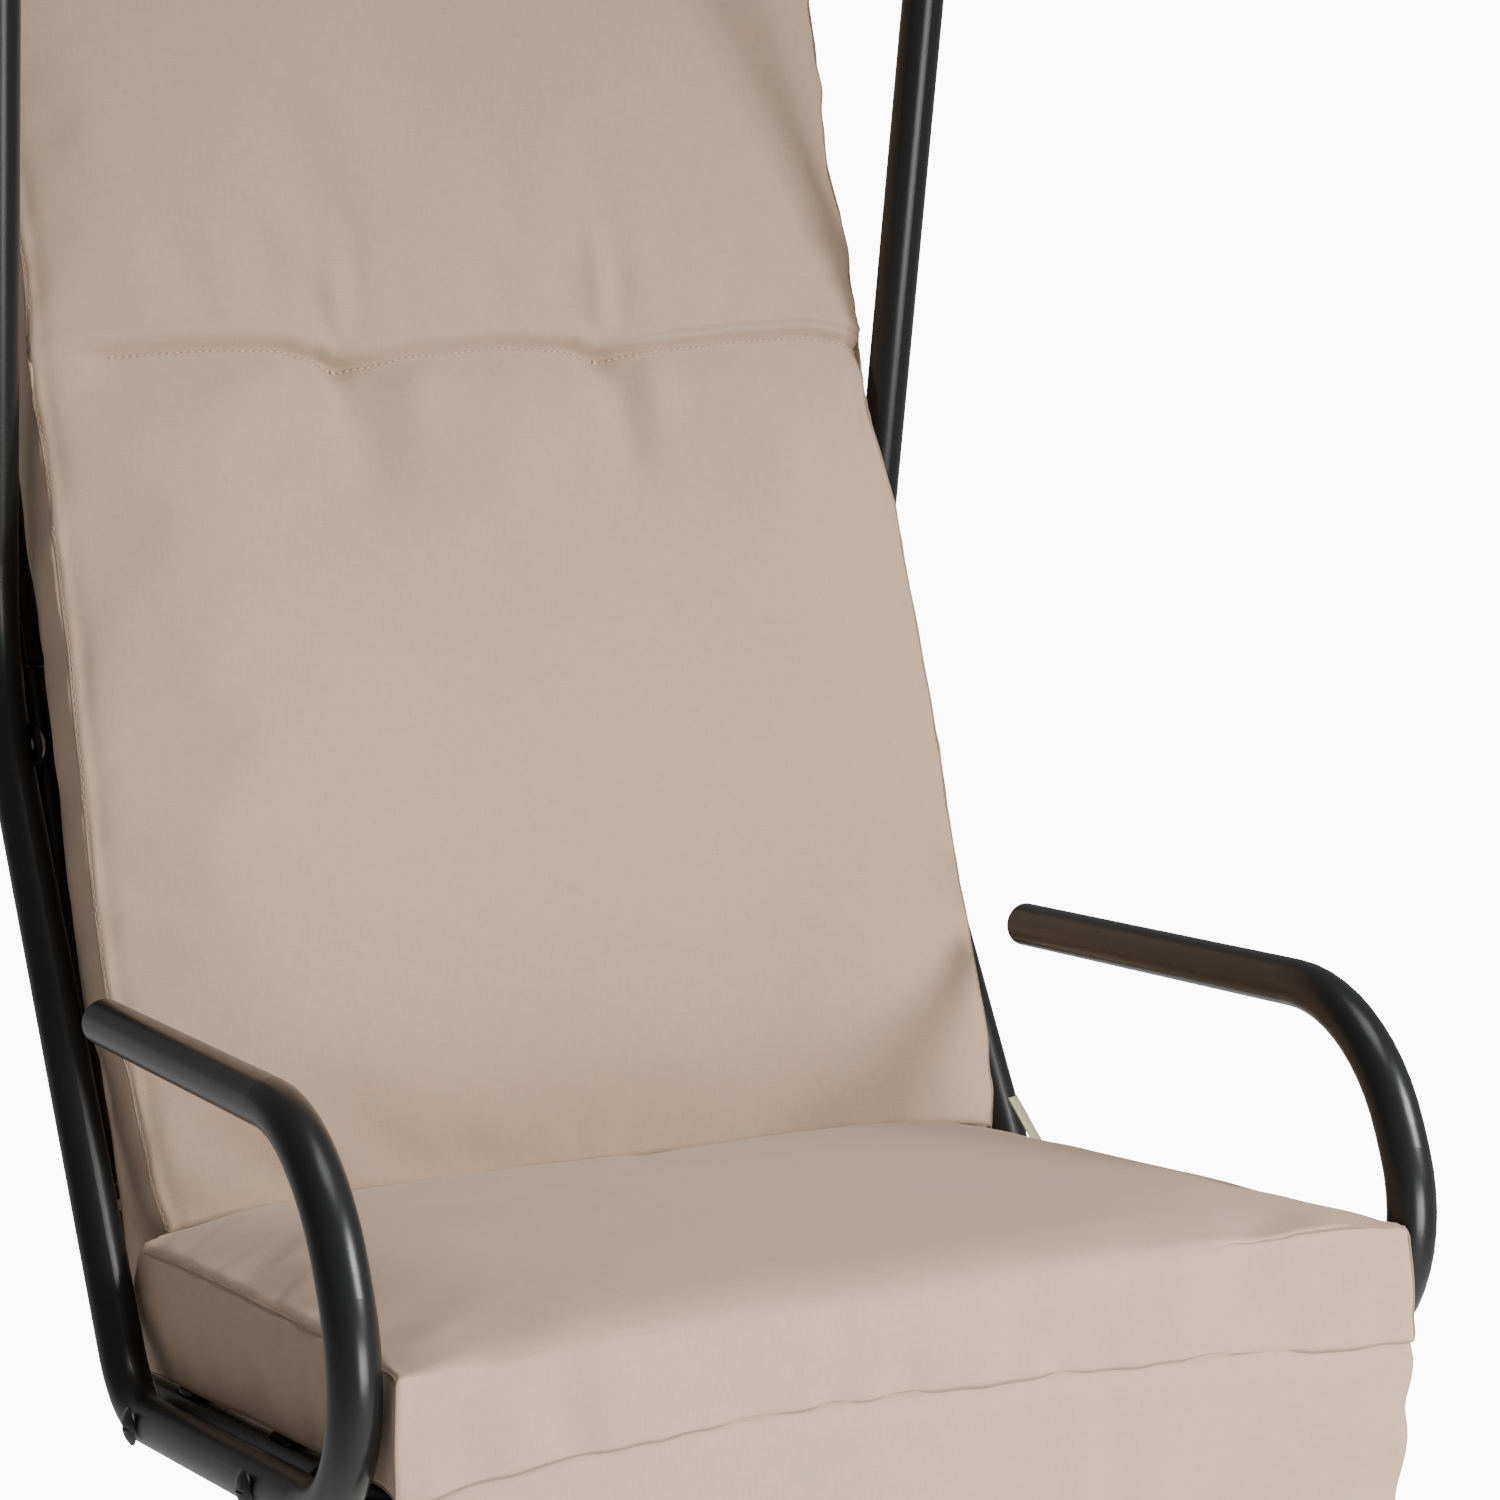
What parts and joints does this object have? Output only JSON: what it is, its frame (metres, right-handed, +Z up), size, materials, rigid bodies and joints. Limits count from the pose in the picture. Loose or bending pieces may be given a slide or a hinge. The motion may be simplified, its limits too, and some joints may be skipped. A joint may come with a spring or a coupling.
{
  "type": "porch swing seat",
  "caption": "Single porch swing seat hung from two bent steel side tubes with armrests, with a boxed seat cushion, a tall tufted back cushion and a front skirt.",
  "frame": {"origin": "middle of the four hanging holes, on the top faces of the two hanging brackets, straight above the swing's pivot axis", "axes": "+Z up, -Y to the front of the seat, +X to the right as seen from the front of the seat, along the pivot axis"},
  "size_m": [0.6078, 0.8087, 1.3207],
  "materials": {
    "frame_paint": "gloss",
    "cushion_cloth": "matte",
    "tie_ribbon": "matte",
    "bolt_zinc": "satin",
    "plug_plastic": "satin",
    "bush_nylon": "satin"
  },
  "bodies": {
    "hanging_brackets": {"bracket_left": "frame_paint", "bracket_right": "frame_paint", "pivot_bolt_left": "bolt_zinc", "pivot_bolt_right": "bolt_zinc", "pivot_nut_left": "bolt_zinc", "pivot_nut_right": "bolt_zinc"},
    "seat": {"arm_plug_left": "plug_plastic", "arm_plug_right": "plug_plastic", "back_bolt_left": "bolt_zinc", "back_bolt_right": "bolt_zinc", "back_cushion": "cushion_cloth", "back_lug_left": "frame_paint", "back_lug_right": "frame_paint", "back_nut_left": "bolt_zinc", "back_nut_right": "bolt_zinc", "back_slat_1": "frame_paint", "back_slat_2": "frame_paint", "back_slat_3": "frame_paint", "back_slat_4": "frame_paint", "back_slat_5": "frame_paint", "cushion_skirt": "cushion_cloth", "frame_cross": "frame_paint", "frame_front": "frame_paint", "frame_side_left": "frame_paint", "frame_side_right": "frame_paint", "frame_top": "frame_paint", "pivot_bushes_left": "bush_nylon", "pivot_bushes_right": "bush_nylon", "rail_bolts_left": "bolt_zinc", "rail_bolts_right": "bolt_zinc", "rail_nuts_left": "bolt_zinc", "rail_nuts_right": "bolt_zinc", "seat_cushion": "cushion_cloth", "seat_slat_1": "frame_paint", "seat_slat_2": "frame_paint", "side_tube_left": "frame_paint", "side_tube_right": "frame_paint", "tie_left": "tie_ribbon", "tie_right": "tie_ribbon"}
  },
  "joints": [
    {"name": "swing", "type": "hinge", "parent": "hanging_brackets", "child": "seat", "pos_m": [0, 0, -0.038], "axis": [1, 0, 0], "range_deg": [-22, 22]}
  ]
}
